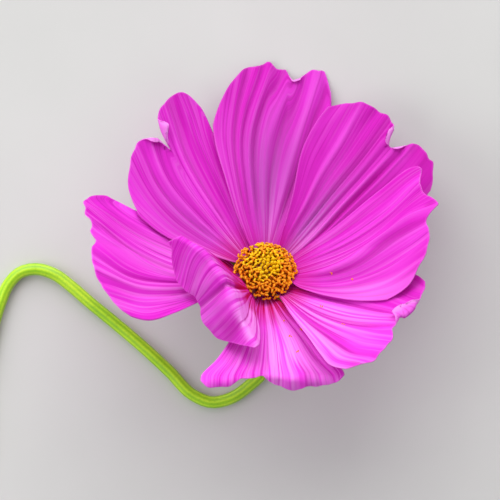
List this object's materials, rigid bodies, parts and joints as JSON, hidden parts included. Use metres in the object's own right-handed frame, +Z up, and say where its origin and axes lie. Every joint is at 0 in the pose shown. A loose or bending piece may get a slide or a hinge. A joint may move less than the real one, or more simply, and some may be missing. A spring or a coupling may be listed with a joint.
{
  "type": "cosmos flower",
  "caption": "Single cut cosmos blossom with pink notched ray petals, one folded over, a yellow disc and a bent green stem lying on the surface.",
  "frame": {"origin": "on the surface the flower lies on, under the middle of its bounding box", "axes": "+Z up from the surface; +Y towards the petal that droops to the surface, which is the top of the head; +X to the right as seen from above, away from the cut end of the stem"},
  "size_m": [0.0944, 0.081, 0.0476],
  "materials": {
    "petal": "thin, soft and finely veined, bright magenta pink, paler at the disc and on the back, slightly translucent",
    "floret": "matt, golden yellow buds in the middle and orange-tipped open florets around them",
    "bract": "satin green leaf tissue with darker parallel veins",
    "stem": "satin yellow-green, smooth, with faint lengthwise ribs"
  },
  "bodies": {
    "root": {"petal_1": "petal", "petal_2": "petal", "petal_3": "petal", "petal_4": "petal", "petal_5": "petal", "petal_6": "petal", "petal_7": "petal", "petal_8": "petal", "receptacle": "bract", "floret_dome": "floret", "disc_floret_01": "floret", "disc_floret_02": "floret", "disc_floret_03": "floret", "disc_floret_04": "floret", "disc_floret_05": "floret", "disc_floret_06": "floret", "disc_floret_07": "floret", "disc_floret_08": "floret", "disc_floret_09": "floret", "disc_floret_10": "floret", "disc_floret_11": "floret", "disc_floret_12": "floret", "disc_floret_13": "floret", "disc_floret_14": "floret", "disc_floret_15": "floret", "disc_floret_16": "floret", "disc_floret_17": "floret", "disc_floret_18": "floret", "disc_floret_19": "floret", "disc_floret_20": "floret", "disc_floret_21": "floret", "inner_bract_1": "bract", "inner_bract_2": "bract", "inner_bract_3": "bract", "inner_bract_4": "bract", "inner_bract_5": "bract", "inner_bract_6": "bract", "inner_bract_7": "bract", "inner_bract_8": "bract", "outer_bract_1": "bract", "outer_bract_2": "bract", "outer_bract_3": "bract", "outer_bract_4": "bract", "outer_bract_5": "bract", "outer_bract_6": "bract", "outer_bract_7": "bract", "outer_bract_8": "bract", "stem": "stem"}
  },
  "joints": []
}
